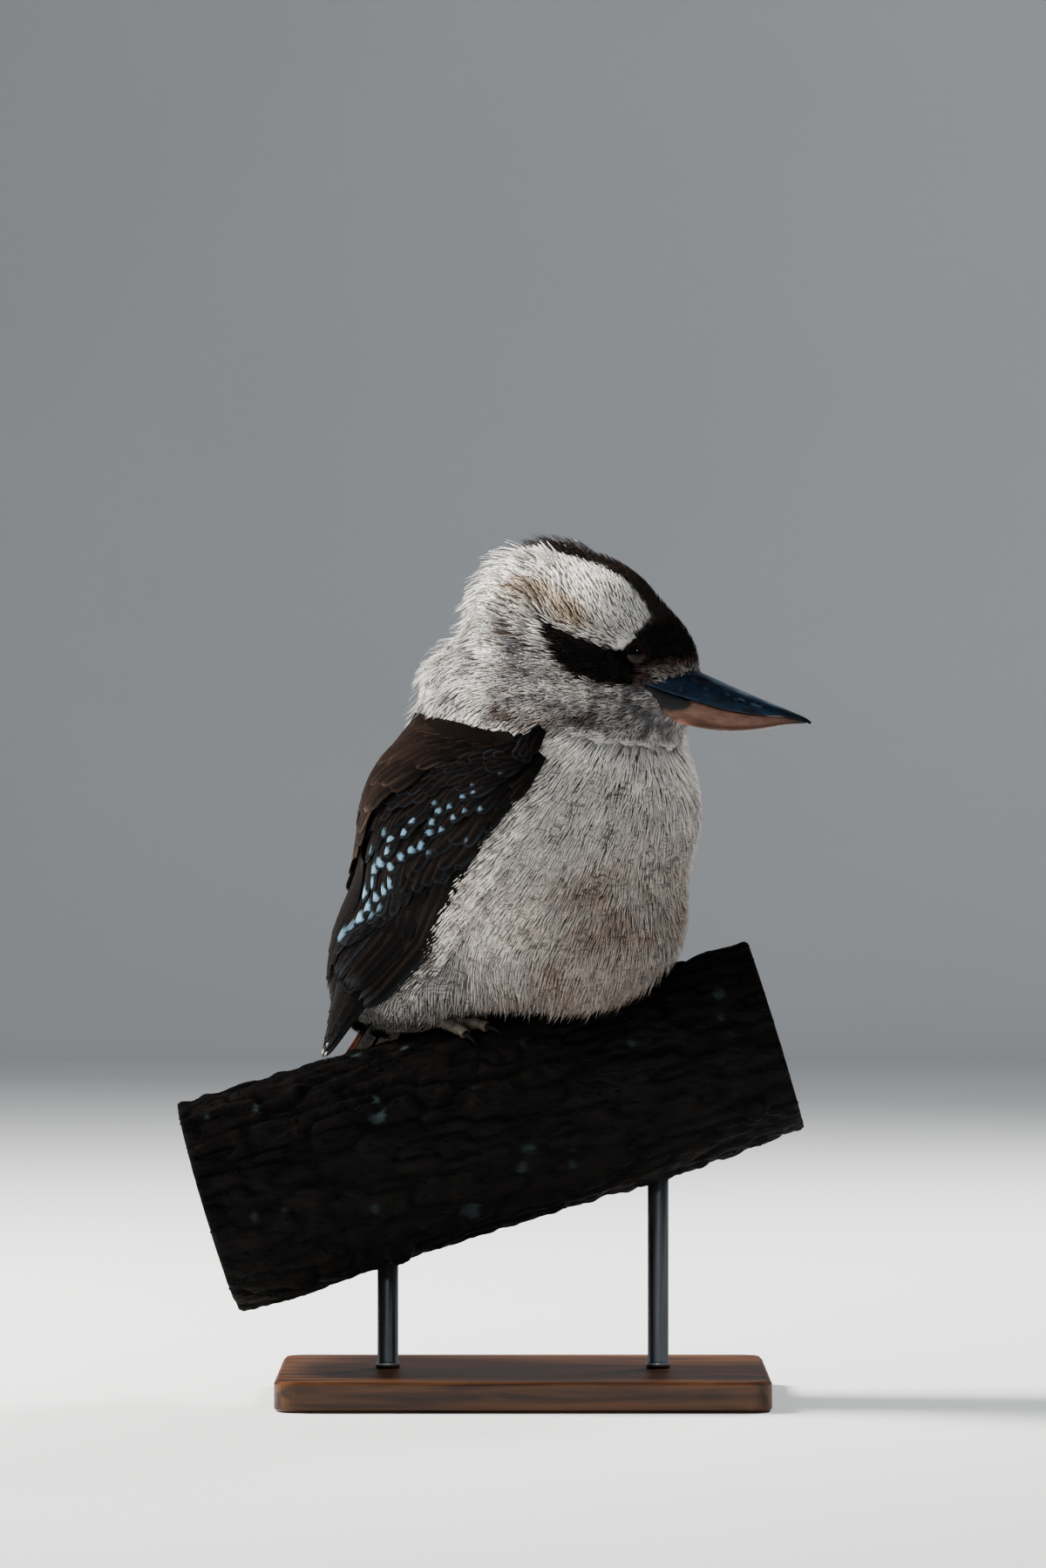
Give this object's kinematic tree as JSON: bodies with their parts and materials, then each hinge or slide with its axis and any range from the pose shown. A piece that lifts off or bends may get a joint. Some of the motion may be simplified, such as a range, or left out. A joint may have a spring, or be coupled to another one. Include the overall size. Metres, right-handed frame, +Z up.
{
  "type": "laughing kookaburra",
  "caption": "Life-size kookaburra at rest on a cut length of branch, head turned aside, on a plain stand with a flat base and two short rods.",
  "frame": {"origin": "middle of the flat underside of the stand's base, so that the model stands on z = 0", "axes": "+Z up, +X along the branch's rising direction and the base's long side, +Y away from the side that the picture shows; the bird faces +X, turned 34 degrees towards -Y"},
  "size_m": [0.2882, 0.1694, 0.39],
  "materials": {
    "plumage_pale": "off-white plumage with fine dark barring",
    "plumage_dark": "dark brown plumage with pale blue spots",
    "plumage_tail": "rufous plumage with black bars and white tips",
    "bill_upper": "blue-black horn, satin",
    "bill_lower": "pinkish horn, satin",
    "eye": "dark brown, wet gloss",
    "foot_skin": "grey-tan scaly skin",
    "claw": "dark horn",
    "bark": "rough near-black bark with pale cut ends",
    "stand_wood": "dark stained wood, satin",
    "stand_metal": "brushed"
  },
  "bodies": {
    "root": {"head": "plumage_pale", "neck": "plumage_pale", "torso": "plumage_pale", "bill_upper": "bill_upper", "bill_lower": "bill_lower", "wing_right": "plumage_dark", "wing_left": "plumage_dark", "tail": "plumage_tail", "eye_right": "eye", "eye_left": "eye", "leg_right": "foot_skin", "leg_left": "foot_skin", "claw_right_1": "claw", "claw_right_2": "claw", "claw_right_3": "claw", "claw_right_4": "claw", "claw_left_1": "claw", "claw_left_2": "claw", "claw_left_3": "claw", "claw_left_4": "claw", "perch": "bark", "stand_base": "stand_wood", "stand_rod_1": "stand_metal", "stand_rod_2": "stand_metal"}
  },
  "joints": []
}
